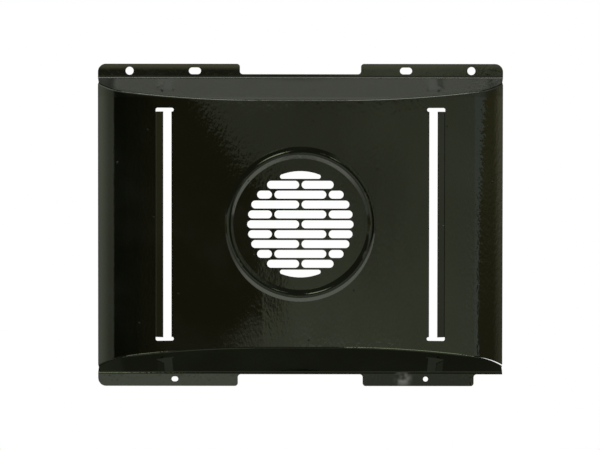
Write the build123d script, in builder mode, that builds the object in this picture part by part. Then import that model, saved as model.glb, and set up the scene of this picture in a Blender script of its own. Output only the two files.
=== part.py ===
from build123d import *
import os
from math import asin, atan2, cos, degrees, hypot, radians, sin, sqrt, tan

# Motor fan cover of a convection oven: one pressed, bent and enamelled steel sheet.
#
# The cover is drawn as it hangs on the oven's back wall. X runs along the long side, Z is up
# and Y is the fan's axis, from the oven's back wall into the oven. The origin is where that
# axis meets the mounting plane, which is the face of the flanges that lies on the back wall.

# Sheet and overall sizes, in millimetres and degrees
sheet = 0.9
cover_width = 404.8
cover_depth = 39.0

# Walls at the top and the bottom
fold_height = 293.0
wall_draft = 29.0
fold_radius = 2.0
panel_edge_radius = 2.0

# Bowed section of the panel, with a rolled lip at each end
flat_width = 76.0
bow_drop = 14.0
lip_width = 27.0
lip_radius = 50.0
seam_gap = 0.4
sprung_seam_gap = 1.7
seam_overlap = 4.0

# Flanges and their tabs
flange_setback = 0.9
top_narrow_flange = 3.7
bottom_narrow_flange = 2.3
tab_reach = 14.0
top_notch = 120.5
bottom_notch = 124.5
corner_cutback = 28.5
tab_outer_radius = 8.0
tab_inner_radius = 3.0

# Screw holes
hole_inset = 7.0
top_hole_end_distance = 31.5
top_hole_diameter = 8.0
slot_spacing = 210.0
slot_length = 12.1
slot_width = 6.7
bottom_hole_spacing = 250.0
bottom_hole_diameter = 5.0
bottom_slot_length = 6.7

# Intake grille and the bead around it
grille_diameter = 107.6
row_pitch = 10.0
row_height = 8.0
bar_width = 2.5
brick_shift = 27.5
segment_corner_radius = 2.2
bead_diameter = 145.0
bead_width = 12.0
bead_height = 2.3
bead_crown_radius = 5.0

# Outlet slots with lanced flaps
hinge_inset = 56.5
vent_width = 15.8
vent_end_margin = 7.85
relief_height = 3.8
relief_width = 18.1
flap_width = 8.7
flap_angle = 36.0
flap_bend_radius = 1.5

panel_depth = cover_depth - sheet
fold_z = fold_height / 2
draft = radians(wall_draft)
flange_length = cover_width - 2 * flange_setback
hole_line = fold_z + tab_reach - hole_inset
top_hole_x = flange_length / 2 - top_hole_end_distance
bow_span = cover_width / 2 - lip_width - flat_width / 2
bow_radius = (bow_span**2 + bow_drop**2) / (2 * bow_drop)
bow_center_y = panel_depth - bow_radius
hinge_x = cover_width / 2 - hinge_inset
vent_length = 2 * (fold_z - panel_depth * tan(draft) - vent_end_margin)
end_radius = (grille_diameter - row_height) / 2
full_rows = int((end_radius - row_height / 4) / row_pitch)
overrun = 6.0
close_by = 0.01

# Slope of the bead's flanks, which are tangent to its crown and end at its full width
crown_drop = bead_crown_radius - bead_height
bead_slope = asin(bead_crown_radius / hypot(bead_width / 2, crown_drop)) - atan2(crown_drop, bead_width / 2)


def bow_angle_at(x):
    """Slope of the bowed panel at a distance x from the middle, in degrees."""
    return degrees(asin((x - flat_width / 2) / bow_radius))


bow_angle = bow_angle_at(cover_width / 2 - lip_width)
lip_center_x = flat_width / 2 + (bow_radius - lip_radius) * sin(radians(bow_angle))
lip_angle = degrees(asin((cover_width / 2 - lip_center_x) / (lip_radius + sheet)))


def bowed_half(rise):
    """Draws half of the bowed section, at a height above the inside face, out to the lip's edge."""
    flat = Line((0, panel_depth + rise), (flat_width / 2, panel_depth + rise))
    bow = JernArc(flat @ 1, flat % 1, bow_radius + rise, -bow_angle)
    return JernArc(bow @ 1, bow % 1, lip_radius + rise, bow_angle - lip_angle)


def wall_profile(rise):
    """Draws the side view between the two drafted walls, at a height above their inside faces."""
    top = cover_depth + overrun
    back = fold_z + rise / cos(draft) + overrun * tan(draft)
    front = fold_z + rise / cos(draft) - top * tan(draft)
    Polyline((-overrun, back), (top, front), (top, -front), (-overrun, -back), close=True)


def panel_edges(form):
    """The long curved edges where the panel meets the two walls."""
    walls = form.faces().sort_by(Axis.Z)
    edges = walls[0].edges() + walls[-1].edges()
    return edges.filter_by(lambda edge: edge.center().Y > lip_end.Y and edge.length > 2 * sheet)


def bead_tool(rise):
    """The ring that presses the bead, at a height above the inside face: a crown between flanks."""
    middle = Vector(bead_diameter / 2, panel_depth - bead_height + bead_crown_radius)
    crown = bead_crown_radius - rise
    out = Vector(crown * sin(bead_slope), -crown * cos(bead_slope))
    out_rim = out + bead_width * Vector(cos(bead_slope), sin(bead_slope))
    with BuildPart() as tool:
        with BuildSketch():
            with BuildLine():
                crest = ThreePointArc(middle + (-out.X, out.Y), middle + (0, -crown), middle + out)
                rim = Line(middle + out_rim, middle + (-out_rim.X, out_rim.Y))
                Line(crest @ 0, rim @ 1)
                Line(crest @ 1, rim @ 0)
            make_face()
        revolve(axis=Axis.Y)
    return tool.part


with BuildLine():
    lip_end = bowed_half(0) @ 1
outside_bead = bead_tool(sheet)
inside_bead = bead_tool(0)

# The space that the outside of the sheet encloses
with BuildPart() as outside_form:
    with BuildSketch(Plane.XY):
        with BuildLine():
            lip = bowed_half(sheet)
            end_x = flange_length / 2
            Polyline(lip @ 1, lip_end, (end_x, lip_end.Y), (end_x, 0), (0, 0))
            mirror(about=Plane.YZ)
        make_face()
    extrude(amount=fold_height, both=True)
    with BuildSketch(Plane.YZ):
        with BuildLine():
            wall_profile(sheet)
        make_face()
    extrude(amount=cover_width, both=True, mode=Mode.INTERSECT)
    fillet(panel_edges(outside_form), radius=panel_edge_radius + sheet)
    add(outside_bead, mode=Mode.SUBTRACT)

# The space that the inside of the sheet encloses, open towards the back wall and at both ends
with BuildPart() as inside_form:
    with BuildSketch(Plane.XY):
        with BuildLine():
            lip = bowed_half(0)
            past = lip @ 1 + overrun * (lip % 1)
            Polyline(lip @ 1, past, (past.X, -overrun), (0, -overrun))
            mirror(about=Plane.YZ)
        make_face()
    extrude(amount=fold_height, both=True)
    with BuildSketch(Plane.YZ):
        with BuildLine():
            wall_profile(0)
        make_face()
    extrude(amount=cover_width, both=True, mode=Mode.INTERSECT)
    fillet(panel_edges(inside_form), radius=panel_edge_radius)
    add(inside_bead, mode=Mode.SUBTRACT)


def wall_plane(side):
    """A plane across a wall's inside face, its Y pointing into the cover and its Z along the wall."""
    along = (0, cos(draft), -side * sin(draft))
    return Plane(origin=(0, 0, side * fold_z), x_dir=(side, 0, 0), z_dir=along)


def seam_wedge(direction, gap):
    """Draws the wedge that frees a lip's corner from its wall, widening towards the end."""
    start = direction * (cover_width / 2 - lip_width + seam_overlap)
    past = direction * (cover_width / 2 + overrun)
    Polyline((start, 0), (past, 0), (past, gap), (start, gap / 4), close=True)


def tab(start, end):
    """One tab of a flange between two distances from the middle."""
    with Locations(((start + end) / 2, fold_z)):
        Rectangle(end - start, tab_reach, align=(Align.CENTER, Align.MIN))


def flange_outline(narrow_flange, notch, left_end, right_end):
    """Draws a flange with a tab on each side of its notch, with rounded corners and roots."""
    with Locations((0, fold_z)):
        Rectangle(flange_length, narrow_flange, align=(Align.CENTER, Align.MIN))
    tab(-left_end, -notch / 2)
    tab(notch / 2, right_end)
    end_x = flange_length / 2 - close_by
    fillet([v for v in vertices() if abs(v.X) > end_x and v.Y > hole_line], tab_outer_radius)
    end_x -= tab_outer_radius
    fillet([v for v in vertices() if abs(v.X) < end_x and v.Y > fold_z + close_by], tab_inner_radius)


def row_opening(start, end):
    """One round-ended opening of a grille row, left out where the circle leaves it no length."""
    if end - start > row_height:
        with Locations(((start + end) / 2, 0)):
            SlotOverall(end - start, row_height)


def grille_row(row):
    """Draws one row of the grille, with its bars laid like brick joints."""
    height = row * row_pitch
    reach = sqrt(end_radius**2 - height**2) + row_height / 2
    with Locations((0, height)):
        if row % 2 == 0:
            row_opening(-reach, -bar_width / 2)
            row_opening(bar_width / 2, reach)
        else:
            row_opening(-reach, -brick_shift - bar_width / 2)
            row_opening(bar_width / 2 - brick_shift, brick_shift - bar_width / 2)
            row_opening(brick_shift + bar_width / 2, reach)


def vent_opening():
    """Draws the right outlet slot: a window for its flap and a relief slot across each end."""
    half_length = (vent_length - relief_height) / 2
    with Locations((hinge_x, 0)):
        Rectangle(vent_width, 2 * half_length, align=(Align.MAX, Align.CENTER))
    relief_x = hinge_x - relief_width / 2
    with Locations((relief_x, -half_length), (relief_x, half_length)):
        SlotOverall(relief_width, relief_height)


def flap_section():
    """Draws the right flap's section: a bend at the hinge, then a straight blade with a round edge."""
    slope = radians(bow_angle_at(hinge_x))
    outward = Vector(sin(slope), cos(slope))
    heading = Vector(-cos(slope), sin(slope))
    bow_center = Vector(flat_width / 2, bow_center_y)
    blade = flap_width - sheet / 2 - radians(flap_angle) * (flap_bend_radius + sheet / 2)
    near = bow_center + bow_radius * outward
    far = near + sheet * outward
    near_bend = JernArc(near, heading, flap_bend_radius, flap_angle)
    near_blade = PolarLine(near_bend @ 1, blade, direction=near_bend % 1)
    far_bend = JernArc(far, heading, flap_bend_radius + sheet, flap_angle)
    far_blade = PolarLine(far_bend @ 1, blade, direction=far_bend % 1)
    tip = near_blade @ 1 + (far_blade @ 1 - near_blade @ 1) / 2 + sheet / 2 * (near_blade % 1)
    ThreePointArc(near_blade @ 1, tip, far_blade @ 1)
    Line(near, far)


def fold_edges(y, z):
    """The straight edges along X at a depth y and a height z, on both flanges."""
    return edges().filter_by(Axis.X).filter_by(
        lambda edge: abs(edge.center().Y - y) < close_by and abs(abs(edge.center().Z) - z) < close_by
    )


# The segment that closes the grille's circle beyond the last full row
with BuildSketch() as grille_segment:
    Circle(grille_diameter / 2)
    with Locations((0, (full_rows + 1) * row_pitch - row_height / 2)):
        cap_box = (Align.CENTER, Align.MIN)
        Rectangle(grille_diameter, grille_diameter, align=cap_box, mode=Mode.INTERSECT)
    fillet(grille_segment.vertices(), radius=segment_corner_radius)

with BuildPart() as fan_cover:
    add(outside_form.part)
    add(inside_form.part, mode=Mode.SUBTRACT)

    # Top flange, with two round holes outside and two slots inside
    with BuildSketch(Plane.XZ):
        flange_outline(top_narrow_flange, top_notch, flange_length / 2, flange_length / 2)
        with Locations((-top_hole_x, hole_line), (top_hole_x, hole_line)):
            Circle(top_hole_diameter / 2, mode=Mode.SUBTRACT)
        with Locations((-slot_spacing / 2, hole_line), (slot_spacing / 2, hole_line)):
            SlotOverall(slot_length, slot_width, mode=Mode.SUBTRACT)
    extrude(amount=-sheet)

    # Bottom flange, drawn upside down, with one slot and one round hole
    with BuildSketch(Plane(origin=(0, 0, 0), x_dir=(1, 0, 0), z_dir=(0, 1, 0))):
        cut_end = flange_length / 2 - corner_cutback
        flange_outline(bottom_narrow_flange, bottom_notch, flange_length / 2, cut_end)
        with Locations((-bottom_hole_spacing / 2, hole_line)):
            SlotOverall(bottom_slot_length, bottom_hole_diameter, mode=Mode.SUBTRACT)
        with Locations((bottom_hole_spacing / 2, hole_line)):
            Circle(bottom_hole_diameter / 2, mode=Mode.SUBTRACT)
    extrude(amount=sheet)

    # Folds between the walls and the flanges, on their mounting side and on their back
    fillet(fold_edges(0, fold_z), radius=fold_radius + sheet)
    fillet(fold_edges(sheet, fold_z + sheet / cos(draft) - sheet * tan(draft)), radius=fold_radius)

    # Seams that free the four corners of the lips, of which the bottom right one has sprung open
    for side in (1, -1):
        for end in (1, -1):
            sprung = (side, end) == (-1, 1)
            with BuildSketch(wall_plane(side)):
                with BuildLine():
                    seam_wedge(side * end, sprung_seam_gap if sprung else seam_gap)
                make_face()
            extrude(amount=2 * cover_depth, mode=Mode.SUBTRACT)

    # Intake grille and outlet slots
    with BuildSketch(Plane.XZ):
        for row in range(-full_rows, full_rows + 1):
            grille_row(row)
        vent_opening()
        mirror(about=Plane.YZ)
        add(grille_segment.sketch)
        add(grille_segment.sketch, rotation=180)
    extrude(amount=-2 * cover_depth, mode=Mode.SUBTRACT)

    # Flaps of the outlet slots, bent in towards the back wall
    with BuildSketch(Plane.XY):
        with BuildLine():
            flap_section()
        make_face()
        mirror(about=Plane.YZ)
    extrude(amount=vent_length / 2 - relief_height, both=True)

fan_cover.part.label = "fan_cover"
os.makedirs("parts", exist_ok=True)
export_step(fan_cover.part, "parts/fan_cover.step")
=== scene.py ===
# %% [markdown]
# This lesson dresses one piece of sheet metal, the cover that stands in front of the fan of an
# oven. The sheet is already modelled exactly, so what is left is what a photographer and an
# enameller would do: find the camera, build the black enamel, and light it so that its bends,
# its bead and its grille can be read. The frame below holds the exact sheet, in metres.

# %% Load the exact sheet
import math

import bpy
from mathutils import Matrix, Vector


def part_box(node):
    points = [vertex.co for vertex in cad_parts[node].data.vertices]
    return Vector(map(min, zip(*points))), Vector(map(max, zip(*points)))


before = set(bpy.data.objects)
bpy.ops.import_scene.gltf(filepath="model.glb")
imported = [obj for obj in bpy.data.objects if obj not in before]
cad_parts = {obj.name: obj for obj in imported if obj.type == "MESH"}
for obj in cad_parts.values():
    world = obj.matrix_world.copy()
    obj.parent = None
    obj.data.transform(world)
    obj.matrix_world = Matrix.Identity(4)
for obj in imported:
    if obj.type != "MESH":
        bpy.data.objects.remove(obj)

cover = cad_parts["fan_cover"]
low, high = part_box("fan_cover")
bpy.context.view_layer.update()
print("sheet from", tuple(low), "to", tuple(high))

# %% [markdown]
# The photograph was taken almost square on to the open back, from far away, so parallel edges
# stay nearly parallel. The camera is found from sizes that are known: screw holes 340 mm apart
# fall 340.8 pixels apart, those 250 mm apart fall 251.0 pixels apart, and the panel, 38 mm
# deeper, is drawn a little smaller. Together they give the scale, between the two, and the
# distance. A camera made from an aim point, two small angles and a lens is easier to correct
# than one placed by eye.

# %% Camera at the photograph's angle
PICTURE_WIDTH_PX = 600
SENSOR_WIDTH_MM = 36.0
CAMERA_DISTANCE = 2.4
CAMERA_RISE_DEG = 1.3
CAMERA_ROLL_DEG = 0.056
PIXELS_PER_METRE = 1003.8
AIM = Vector((-0.00034, 0.0, 0.00016))
NEAREST_SEEN = 0.05
FURTHEST_SEEN = 50.0

lens_data = bpy.data.cameras.new("camera")
lens_data.sensor_width = SENSOR_WIDTH_MM
lens_data.lens = PIXELS_PER_METRE * CAMERA_DISTANCE * SENSOR_WIDTH_MM / PICTURE_WIDTH_PX
lens_data.clip_start = NEAREST_SEEN
lens_data.clip_end = FURTHEST_SEEN
camera = bpy.data.objects.new("camera", lens_data)
bpy.context.scene.collection.objects.link(camera)
rise = math.radians(CAMERA_RISE_DEG)
away = Vector((0.0, -math.cos(rise), math.sin(rise)))
camera.location = AIM + CAMERA_DISTANCE * away
turn = away.to_track_quat("Z", "Y").to_matrix().to_4x4()
roll = Matrix.Rotation(math.radians(CAMERA_ROLL_DEG), 4, "Z")
camera.matrix_world = Matrix.Translation(camera.location) @ turn @ roll
bpy.context.scene.camera = camera
print("lens", round(lens_data.lens, 1), "mm")

# %% [markdown]
# A finish is arithmetic on numbers that change over the surface, and arithmetic is easier to
# read as plain expressions than as boxes and wires. This small class wraps one socket of a
# node. Adding or multiplying two of them adds the Math node that does it, also when the plain
# number stands first, as in 1 - mask. Colours go through a Mix node, which keeps their hue.

# %% Shader arithmetic
class Signal:
    """One output socket of a node tree, with the usual operators."""

    def __init__(self, tree, socket):
        self.tree = tree
        self.socket = socket

    def node(self, kind, settings=None, **inputs):
        """Adds a node of a type, with its settings first and then its inputs' values or links."""
        made = self.tree.nodes.new(kind)
        for name, value in (settings or {}).items():
            setattr(made, name, value)
        for name, value in inputs.items():
            socket = pick_input(made, name)
            if isinstance(value, Signal):
                self.tree.links.new(value.socket, socket)
            elif socket.type == "RGBA":
                socket.default_value = (*value, 1.0)
            else:
                socket.default_value = value
        return made

    def math(self, operation, *values):
        """Adds one Math node over this signal and the given values."""
        settings = {"operation": operation}
        inputs = {f"at_{place}": value for place, value in enumerate((self, *values))}
        made = self.node("ShaderNodeMath", settings, **inputs)
        return Signal(self.tree, made.outputs[0])

    def __add__(self, other):
        return self.math("ADD", other)

    def __sub__(self, other):
        return self.math("SUBTRACT", other)

    def __rsub__(self, other):
        return (self * -1.0) + other

    def __mul__(self, other):
        return self.math("MULTIPLY", other)

    def __truediv__(self, other):
        return self.math("DIVIDE", other)

    __radd__ = __add__
    __rmul__ = __mul__

    def step_between(self, start, end):
        """0 below start, 1 above end, and smooth between them."""
        settings = {"interpolation_type": "SMOOTHSTEP"}
        made = self.node("ShaderNodeMapRange", settings, Value=self, From_Min=start, From_Max=end)
        return Signal(self.tree, made.outputs["Result"])

    def blend(self, first, second):
        """Mixes two colours, with this signal as the share of the second."""
        made = self.node("ShaderNodeMix", {"data_type": "RGBA"}, at_0=self, at_6=first, at_7=second)
        return Signal(self.tree, made.outputs[2])


def pick_input(node, name):
    """An input socket by its name, with _ for a space, or by its place as in at_2."""
    if name.startswith("at_"):
        return node.inputs[int(name[3:])]
    return node.inputs[name.replace("_", " ")]


def window(signal, start, end, soft):
    """1 between two values and 0 outside them, with edges as soft as asked."""
    rising = signal.step_between(start - soft, start + soft)
    falling = signal.step_between(end - soft, end + soft)
    return rising - falling


def axes_of(vector):
    """The X, Y and Z of a vector, each as a signal."""
    split = vector.node("ShaderNodeSeparateXYZ", Vector=vector)
    return [Signal(vector.tree, split.outputs[axis]) for axis in "XYZ"]


def noise(place, scale, detail, roughness):
    """The value of a noise texture, which stays around a half."""
    inputs = {"Vector": place, "Scale": scale, "Detail": detail, "Roughness": roughness}
    made = place.node("ShaderNodeTexNoise", **inputs)
    return Signal(place.tree, made.outputs["Fac"])


def new_finish(name):
    """A new material, its Principled shader, and the place on the object as a signal."""
    finish = bpy.data.materials.new(name)
    finish.use_nodes = True
    tree = finish.node_tree
    shader = tree.nodes["Principled BSDF"]
    coordinates = tree.nodes.new("ShaderNodeTexCoord")
    return finish, shader, Signal(tree, coordinates.outputs["Object"])


# %% [markdown]
# The finish is vitreous enamel: powdered glass, melted onto the steel at red heat. It is glossy
# but never as flat as window glass. It keeps an orange peel a few millimetres wide, over slow
# ripples, and that is why the edges of reflections in it look ragged. The peel is longer upright
# than sideways, as if the glass ran a little before it set. The pinholes, where gas left the
# glass, are a millimetre or two across. The black has a touch of olive.
#
# Some values can't be measured in one photograph and were fitted to its tones: how much duller
# the top wall is, how much coarser the peel is at the right bend, and the springback. That last
# is the slight hollow which a pressed sheet takes when the press opens. The exact sheet is flat
# there. A bump tilts only its shading, so the outline stays as it is, and it makes both faces
# look hollow, where the front of a real sheet would bulge.

# %% Places on the sheet
SHEET_TOP = high[2]
SHEET_BOTTOM = low[2]
SHEET_RIGHT = high[0]
PANEL = (SHEET_BOTTOM + 0.0315, SHEET_TOP - 0.0330)
TOP_WALL = (SHEET_TOP - 0.0323, SHEET_TOP - 0.0120)
RIM = (SHEET_TOP - 0.0070, SHEET_TOP - 0.0015)
RIGHT_BEND = (SHEET_RIGHT - 0.0424, SHEET_RIGHT - 0.0304)
# Middle of a painted glint: a pale grey patch on the lower right tab.
PAINTED_GLINT_MIDDLE = (SHEET_RIGHT - 0.0999, 0.0, SHEET_BOTTOM + 0.0075)
print("panel from", round(PANEL[0], 4), "to", round(PANEL[1], 4))

# %% Values of the black enamel
MILLIMETRE = 0.001
ENAMEL_BLACK = (0.0030, 0.0035, 0.0017)
ENAMEL_DUST = (0.012, 0.013, 0.010)
# The next colour is a painted sheen: it makes the upper edge of the top tabs paler, more on the
# left.
PAINTED_RIM_SHEEN = (0.045, 0.044, 0.026)
# The next colour is a painted glint: a pale grey patch on the lower right tab.
PAINTED_GLINT_GREY = (0.14, 0.14, 0.13)
ENAMEL_TINT = (0.97, 1.0, 0.90)
ENAMEL_IOR = 1.5
ENAMEL_ROUGHNESS = 0.04
DUST_ROUGHNESS = 0.04
DUST_SHARE = 0.3
WALL_ROUGHNESS = 0.15
WALL_SOFT_EDGE = 0.0007
EDGE_RADIUS_MM = 0.4
print("sheared edges rounded by", EDGE_RADIUS_MM, "mm")

# %% [markdown]
# The heights are written in millimetres, and a Bump node turns them into slopes. Two follow each
# other: the first, which only reaches the panel, holds the springback, and the second holds the
# ripples, the peel and the pinholes. A Bevel node before them rounds the sheared edges, which
# are sharp in the exact sheet and a little round under the glass of the real one.

# %% Heights in the enamel
RIPPLE_SCALE = 110.0
RIPPLE_HEIGHT_MM = 0.012
PEEL_SCALE = 400.0
PEEL_HEIGHT_MM = 0.026
PEEL_DRAIN = (1.0, 1.0, 0.55)
RIGHT_BEND_EXTRA = 3.5
PINHOLE_SCALE = 11.0
PINHOLE_IN_CELLS = (0.004, 0.014)
PINHOLE_DEPTH_MM = 0.12
SPRINGBACK_MM = 2.2
SPRINGBACK_REACH = 0.060
PANEL_SOFT_EDGE = 0.0010
print("one pinhole in about", round(1000.0 / PINHOLE_SCALE), "mm each way")


def bumped(normal, height, strength):
    """A normal, tilted by a height in millimetres."""
    inputs = {"Strength": strength, "Distance": MILLIMETRE, "Height": height, "Normal": normal}
    made = normal.node("ShaderNodeBump", **inputs)
    return Signal(normal.tree, made.outputs["Normal"])


def enamel_peel(place, x):
    """The orange peel, drawn out upright and coarser at the right bend."""
    operation = {"operation": "MULTIPLY"}
    drained = place.node("ShaderNodeVectorMath", operation, at_0=place, at_1=PEEL_DRAIN)
    peel = noise(Signal(place.tree, drained.outputs[0]), PEEL_SCALE, 1.0, 0.5)
    return peel * (x.step_between(*RIGHT_BEND) * RIGHT_BEND_EXTRA + 1.0)


def enamel_pinholes(place, x, z):
    """0 in each pinhole and 1 elsewhere."""
    flat = place.node("ShaderNodeCombineXYZ", X=x, Y=z)
    flat = Signal(place.tree, flat.outputs[0])
    cells = {"voronoi_dimensions": "2D"}
    made = place.node("ShaderNodeTexVoronoi", cells, Vector=flat, Scale=PINHOLE_SCALE)
    return Signal(place.tree, made.outputs["Distance"]).step_between(*PINHOLE_IN_CELLS)


def enamel_normal(place, ripple, x, z):
    """Round edges first, then the springback of the panel, then the enamel's own heights."""
    rounded = place.node("ShaderNodeBevel", {"samples": 4}, Radius=EDGE_RADIUS_MM * MILLIMETRE)
    rounded = Signal(place.tree, rounded.outputs["Normal"])
    across = x / SPRINGBACK_REACH
    springback = (across * across + 1.0).math("POWER", -1.0) * -SPRINGBACK_MM
    sprung = bumped(rounded, springback, window(z, *PANEL, PANEL_SOFT_EDGE))
    height = ripple * RIPPLE_HEIGHT_MM + enamel_peel(place, x) * PEEL_HEIGHT_MM
    height = height + enamel_pinholes(place, x, z) * PINHOLE_DEPTH_MM
    return bumped(sprung, height, 1.0)


# %% [markdown]
# Dust takes the look of plastic off black enamel. A thin film lies in soft clouds. The upper edge
# of the top tabs is painted paler, more on the left half: that is a painted sheen. One pale grey
# patch on the lower right tab, on the side that faces the oven's wall, is a painted glint. Each
# is one line of enamel_colour.

# %% Dust, a painted sheen and a painted glint on the enamel
CLOUD_SCALE = 14.0
CLOUD_EDGES = (0.45, 0.8)
RIGHT_RIM_SHARE = 0.35
RIM_CHANGES_OVER = 0.030
# Size and gaps of the painted glint on the lower right tab.
PAINTED_GLINT_RADII = (0.001, 0.011)
PAINTED_GLINT_GAPS = (0.35, 0.6)
NEAR_THE_WALL = (0.0002, 0.0006)
print("smudge of", round(PAINTED_GLINT_RADII[1] / MILLIMETRE), "mm around its middle")


def painted_glint_mask(place, ripple, y):
    """1 in the painted glint, a pale patch broken up by the ripples, on one side of the sheet only.
    """
    away = place.node("ShaderNodeVectorMath", {"operation": "DISTANCE"}, at_0=place, at_1=PAINTED_GLINT_MIDDLE)
    near = 1.0 - Signal(place.tree, away.outputs["Value"]).step_between(*PAINTED_GLINT_RADII)
    open_side = 1.0 - y.step_between(*NEAR_THE_WALL)
    return near * open_side * ripple.step_between(*PAINTED_GLINT_GAPS)


def enamel_colour(place, dust, ripple, x, y, z):
    """The black glass under its film of dust, with a painted sheen on the rim and a painted glint.
    """
    colour = (dust * DUST_SHARE).blend(ENAMEL_BLACK, ENAMEL_DUST)
    left_half = 1.0 - x.step_between(-RIM_CHANGES_OVER, RIM_CHANGES_OVER)
    painted_sheen = z.step_between(*RIM) * (RIGHT_RIM_SHARE + left_half * (1.0 - RIGHT_RIM_SHARE))
    # Painted sheen: the upper edge of the top tabs is made paler, more on the left half.
    colour = painted_sheen.blend(colour, PAINTED_RIM_SHEEN)
    # Painted glint: a pale grey patch on the lower right tab.
    return painted_glint_mask(place, ripple, y).blend(colour, PAINTED_GLINT_GREY)


# %% Black enamel on the sheet
def make_enamel():
    """The black enamel, with its heights, its dust, a painted sheen and glint, and a duller top
    wall.
    """
    finish, shader, place = new_finish("enamel")
    tree = finish.node_tree
    x, y, z = axes_of(place)
    ripple = noise(place, RIPPLE_SCALE, 1.0, 0.5)
    dust = noise(place, CLOUD_SCALE, 3.0, 0.55).step_between(*CLOUD_EDGES)
    top_wall = window(z, *TOP_WALL, WALL_SOFT_EDGE)
    roughness = dust * DUST_ROUGHNESS + ENAMEL_ROUGHNESS
    roughness = roughness + top_wall * (WALL_ROUGHNESS - ENAMEL_ROUGHNESS)
    colour = enamel_colour(place, dust, ripple, x, y, z)
    normal = enamel_normal(place, ripple, x, z)
    tree.links.new(colour.socket, shader.inputs["Base Color"])
    tree.links.new(roughness.socket, shader.inputs["Roughness"])
    tree.links.new(normal.socket, shader.inputs["Normal"])
    shader.inputs["IOR"].default_value = ENAMEL_IOR
    shader.inputs["Specular Tint"].default_value = (*ENAMEL_TINT, 1.0)
    return finish


enamel = make_enamel()
cover.material_slots[0].material = enamel
print("finish", enamel.name, "on", cover.name)

# %% [markdown]
# Black gloss has almost no colour of its own: what the eye reads is the room in it. So the room
# is built with care, in the world's own shader, from the direction that a ray looks in. A
# direction has three parts, right, ahead and up. From them come two angles, as a photographer
# would give them from where the cover hangs: how far to the side of the camera, and how high.
# Each wall of the room is a colour times a mask, and a mask is a step from 0 to 1 at an angle.
# The room isn't in the photograph. It was worked out backwards from the tones on the enamel, so
# it is one room that gives this picture, and not the only one.

# %% Helpers for the room
RADIAN_IN_DEGREES = math.degrees(1.0)


def tinted(signal, colour):
    """A colour scaled by a signal."""
    scaled = signal.node("ShaderNodeVectorMath", {"operation": "SCALE"}, at_0=colour, Scale=signal)
    return Signal(signal.tree, scaled.outputs[0])


def joined(first, second):
    """Two colours of light, added."""
    both = first.node("ShaderNodeVectorMath", {"operation": "ADD"}, at_0=first, at_1=second)
    return Signal(first.tree, both.outputs[0])


# %% [markdown]
# The walls behind the camera. A pale wall fills the left half, up to a slanting edge just right
# of the camera. Far to the left it turns cooler, then dim. A brown door stands on its right, then
# comes darkness, and past that a bright window that the left end of the panel catches. The window
# on the far left is dimmer. A narrow rail above the camera shows in the top tabs, and a skirting
# board below it in the bottom tabs. All angles are in degrees. A pair named FROM or END is a soft
# edge, from where it starts to where it is full, and SIDES or HEIGHTS are two such edges apart.

# %% Walls that the enamel mirrors
PALE_WALL = (1.05, 1.13, 0.82)
COOL_WALL = (1.00, 1.12, 1.04)
SKIRTING = (1.00, 1.07, 0.93)
BROWN_DOOR = (1.40, 1.10, 0.50)
BROWN_DOOR_LIGHT = 0.075
DIM_WALL = (1.26, 1.16, 0.58)
RIGHT_WINDOW = (1.02, 1.09, 0.88)
LEFT_WINDOW = (1.10, 1.05, 0.85)
PALE_WALL_LIGHT = 0.40
PALE_WALL_END = (1.5, 2.2)
SLANT_HEIGHTS = (-0.35, 0.45)
SLANT = 3.6
SLANT_PER_DEGREE = 3.2
UPRIGHT_DOWN_TO = 3.35
COOL_FROM = (16.0, 25.0)
DIM_FROM = (33.0, 36.0)
DOOR_END = (14.5, 19.0)
RIGHT_WINDOW_FROM = (46.5, 51.0)
LEFT_WINDOW_FROM = (64.0, 84.0)
RAIL_FROM = (1.75, 2.1)
RAIL_SIDES = (-12.0, 9.0)
SKIRTING_FROM = (4.4, 4.65)
SKIRTING_SIDES = (-9.0, 5.2)
print("pale wall ends", PALE_WALL_END[1], "degrees right of the camera")


def wall_light(side, height):
    """How bright the pale wall is: paler towards the left and towards the floor."""
    low = (height * -1.0).step_between(0.5, 4.2)
    left = (side * -1.0).step_between(5.0, 13.0)
    far_left = (side * -1.0).step_between(18.0, 26.0)
    near_edge = side.step_between(-6.0, -2.0)
    middle = 1.0 - (height * -1.0).step_between(1.0, 3.5)
    below = (height * -1.0).step_between(0.0, 1.0)
    upper_left = height.step_between(0.0, 0.8) * (side * -1.0).step_between(1.0, 7.0)
    light = PALE_WALL_LIGHT + low * 0.27 + middle * (left * 0.13 + near_edge * below * 0.12)
    return light + far_left * 0.16 + upper_left * (1.0 - left) * 0.12


def wall_masks(side, height):
    """Where the pale wall is, whose end slants, and where the dim wall past its left end is."""
    slant = side - height.step_between(*SLANT_HEIGHTS) * SLANT
    slant = slant - (height - SLANT_HEIGHTS[1]).math("MAXIMUM", 0.0) * SLANT_PER_DEGREE
    slant = slant - (height * -1.0 - UPRIGHT_DOWN_TO).math("MAXIMUM", 0.0) * SLANT_PER_DEGREE
    dim_edge = side * -1.0 - height.math("MAXIMUM", -1.4) * 4.5
    return 1.0 - slant.step_between(*PALE_WALL_END), dim_edge.step_between(*DIM_FROM)


def window_light(side, brighter_up):
    """The bright window on the right and the dimmer one on the far left."""
    right = side.step_between(*RIGHT_WINDOW_FROM) * 0.55 + side.step_between(56.0, 86.0) * 0.66
    right = right * (0.88 + brighter_up * 0.15)
    left = (side * -1.0).step_between(*LEFT_WINDOW_FROM) * (0.30 + brighter_up * 0.25)
    return joined(tinted(right, RIGHT_WINDOW), tinted(left, LEFT_WINDOW))


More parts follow.
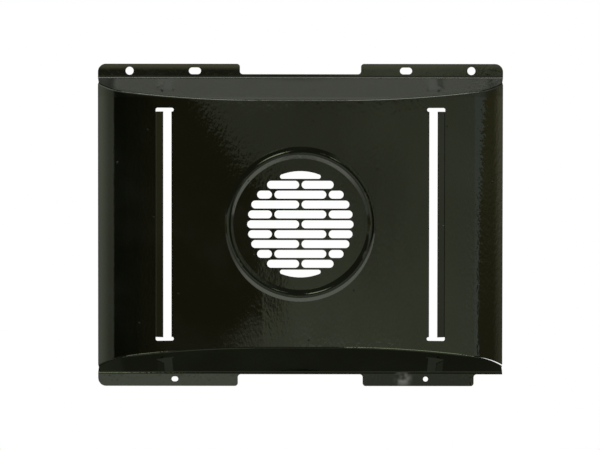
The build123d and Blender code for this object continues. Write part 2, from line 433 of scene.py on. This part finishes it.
def with_rail_and_skirting(light, side, height, grain):
    """Lays the rail and the skirting board over the walls."""
    rail = 0.10 + side.step_between(0.4, 1.2) * 0.68 - side.step_between(3.4, 4.2) * 0.15
    rail_mask = height.step_between(*RAIL_FROM) * window(side, *RAIL_SIDES, 2.0)
    light = rail_mask.blend(light, tinted(rail, PALE_WALL))
    skirting = (1.24 - side.step_between(0.4, 1.2) * 0.74) * grain
    low_edge = (height * -1.0).step_between(*SKIRTING_FROM) * window(side, *SKIRTING_SIDES, 0.8)
    return low_edge.blend(light, tinted(skirting, SKIRTING))


def front_of_room(side, height, grain):
    """The walls behind the camera, from a ray's two angles."""
    pale_wall, dim_left = wall_masks(side, height)
    brown_door = (1.0 - pale_wall) * (1.0 - side.step_between(*DOOR_END))
    brighter_up = height.step_between(-4.0, 1.6)
    wall_colour = (side * -1.0).step_between(*COOL_FROM).blend(PALE_WALL, COOL_WALL)
    wall = pale_wall * (1.0 - dim_left) * wall_light(side, height) * grain
    light = tinted(wall, wall_colour)
    light = joined(light, tinted(dim_left * (0.15 + brighter_up * 0.14), DIM_WALL))
    light = joined(light, tinted(brown_door * BROWN_DOOR_LIGHT, BROWN_DOOR))
    light = joined(light, window_light(side, brighter_up))
    return with_rail_and_skirting(light, side, height, grain)


# %% [markdown]
# Above and below. The ceiling is nearly dark, with two small bright windows high up that show as
# glints on the bead. The floor in front is pale, and below the camera it is twice as bright as
# white. Far down, one strip adds seven times white to that. The top wall sees it after two
# reflections, each of which keeps less than a tenth of the light. Without it that wall is far
# darker than the grey in the photograph. These are brighter lights than a plain studio has, and
# only gloss sees them.

# %% Ceiling and floor that the enamel mirrors
CEILING = (1.02, 1.16, 0.82)
CEILING_LIGHT = 0.075
PALE_CORNER_LIGHT = 0.42
LEFT_GLINT = 4.5
LEFT_GLINT_SIDES = (-15.0, -4.6)
LEFT_GLINT_HEIGHTS = (22.0, 42.0)
RIGHT_GLINT = 3.5
RIGHT_GLINT_SIDES = (11.6, 15.0)
RIGHT_GLINT_HEIGHTS = (24.0, 40.0)
FLOOR_LIGHT = (1.00, 1.04, 0.94)
STRIP_LIGHT = 6.9
STRIP_BELOW = (57.5, 66.0)
STRIP_END = (40.0, 50.0)
print("strip adds", STRIP_LIGHT, "from", STRIP_BELOW[0], "degrees below the camera")


def upper_room(side, height, slope):
    """The dim ceiling, a pale corner at the upper right, and two small windows."""
    corner = slope.step_between(48.3, 50.3) * side.step_between(20.0, 34.0)
    left = window(side, *LEFT_GLINT_SIDES, 0.9) * window(height, *LEFT_GLINT_HEIGHTS, 3.0)
    right = window(side, *RIGHT_GLINT_SIDES, 0.7) * window(height, *RIGHT_GLINT_HEIGHTS, 3.0)
    glints = left * LEFT_GLINT + right * RIGHT_GLINT
    overhead = height.step_between(50.0, 56.0) * 0.45
    return tinted(CEILING_LIGHT + corner * PALE_CORNER_LIGHT + glints + overhead, CEILING)


def lower_room(side, height, slope):
    """The floor in front of the cover: pale, with a bright strip far below the camera."""
    light = 0.45 + slope.step_between(41.0, 48.0) * 0.5 + slope.step_between(49.4, 51.4)
    light = light * (1.0 - (side * -1.0).step_between(40.0, 50.0) * 0.6)
    right_end = side.step_between(*STRIP_END) * 0.75
    strip = window(height * -1.0, *STRIP_BELOW, 1.0) * (1.0 - right_end)
    return tinted(light + strip * STRIP_LIGHT, FLOOR_LIGHT)


# %% [markdown]
# The world joins the parts. A fine grain lies over the walls, because an even wall looks too
# clean in a mirror. Only rays that left a glossy surface see the room. Matt surfaces and the
# camera get plain white at strength 1, so a matt colour renders about as it is written, and the
# backdrop is white. Behind the cover the gloss sees that white backdrop too, a little greyer far
# down, and much darker high up.

# %% World
BACKDROP = (1.0, 1.0, 1.0)
BACKDROP_HIGH = (0.20, 0.23, 0.18)
BACKDROP_LOW = (0.80, 0.82, 0.76)
GRAIN_SCALE = 260.0
CEILING_FROM = (3.0, 6.0)
FLOOR_FROM = (5.5, 9.0)


def ray_angles(right, ahead, up):
    """How far a ray looks to the side, how high, and how far from the camera's direction."""
    height = up.math("ARCSINE") * RADIAN_IN_DEGREES
    level_part = (1.0 - up * up).math("MAXIMUM", 0.0001).math("SQRT")
    side = (right / level_part).math("ARCSINE") * RADIAN_IN_DEGREES
    slope = (ahead * -1.0).math("ARCCOSINE") * RADIAN_IN_DEGREES
    return side, height, slope


def make_room(direction):
    """The whole room, from the direction that a ray looks in."""
    right, ahead, up = axes_of(direction)
    side, height, slope = ray_angles(right, ahead, up)
    grain = 0.45 + noise(direction, GRAIN_SCALE, 1.0, 0.5) * 1.1
    front = front_of_room(side, height, grain)
    above = upper_room(side, height, slope)
    below = lower_room(side, height, slope)
    front = height.step_between(*CEILING_FROM).blend(front, above)
    front = (height * -1.0).step_between(*FLOOR_FROM).blend(front, below)
    behind = height.step_between(35.0, 45.0).blend(BACKDROP, BACKDROP_HIGH)
    behind = (height * -1.0).step_between(45.0, 60.0).blend(behind, BACKDROP_LOW)
    return ahead.step_between(-0.05, 0.05).blend(front, behind)


def make_world():
    """The room for the enamel, and plain white for matt surfaces and for the camera."""
    world = bpy.data.worlds.new("studio")
    bpy.context.scene.world = world
    world.use_nodes = True
    tree = world.node_tree
    tree.nodes.clear()
    coordinates = tree.nodes.new("ShaderNodeTexCoord")
    direction = Signal(tree, coordinates.outputs["Generated"])
    paths = direction.node("ShaderNodeLightPath")
    mirrored = Signal(tree, paths.outputs["Is Glossy Ray"])
    light = mirrored.blend(BACKDROP, make_room(direction))
    background = direction.node("ShaderNodeBackground", Color=light, Strength=1.0)
    output = tree.nodes.new("ShaderNodeOutputWorld")
    tree.links.new(background.outputs[0], output.inputs[0])
    print("room built from", len(tree.nodes), "nodes")


make_world()

# %% [markdown]
# The floor only has to be plain and pale. It is a small plate far below the cover, because a
# wide or near one would hide the lower part of the room from the enamel. The camera and the
# enamel both see it white, and a small share of its own matt shading keeps a shadow on it,
# which is hardly in view from the front.

# %% Floor
FLOOR_HEIGHT = -1.2
FLOOR_SIZE = 0.84
FLOOR_WHITE = (0.97, 0.97, 0.97, 1.0)
FLOOR_ROUGHNESS = 0.9
SHADOW_SHARE = 0.12


def shown_white(place):
    """1 for the rays that should see the floor white."""
    paths = place.node("ShaderNodeLightPath")
    kinds = ("Is Camera Ray", "Is Glossy Ray", "Is Transmission Ray")
    seen, mirrored, passed = (Signal(place.tree, paths.outputs[kind]) for kind in kinds)
    return (seen + mirrored + passed).math("MINIMUM", 1.0)


def make_floor():
    """A pale floor that shows white to the camera and to the enamel, apart from the shadow."""
    bpy.ops.mesh.primitive_plane_add(size=FLOOR_SIZE, location=(0.0, 0.0, FLOOR_HEIGHT))
    floor = bpy.context.object
    floor.name = "floor"
    finish, shader, place = new_finish("pale_floor")
    shader.inputs["Base Color"].default_value = FLOOR_WHITE
    shader.inputs["Roughness"].default_value = FLOOR_ROUGHNESS
    shader.inputs["Specular IOR Level"].default_value = 0.0
    tree = finish.node_tree
    white = place.node("ShaderNodeEmission", Color=(1.0, 1.0, 1.0), Strength=1.0)
    mixed = tree.nodes.new("ShaderNodeMixShader")
    tree.links.new((shown_white(place) * (1.0 - SHADOW_SHARE)).socket, mixed.inputs[0])
    tree.links.new(shader.outputs[0], mixed.inputs[1])
    tree.links.new(white.outputs[0], mixed.inputs[2])
    tree.links.new(mixed.outputs[0], tree.nodes["Material Output"].inputs[0])
    floor.data.materials.append(finish)
    print("floor at", FLOOR_HEIGHT, "m")


make_floor()

# %% [markdown]
# The picture uses the plain display transform, so that a colour shows as it is written.

# %% Picture settings
bpy.context.scene.view_settings.view_transform = "Standard"
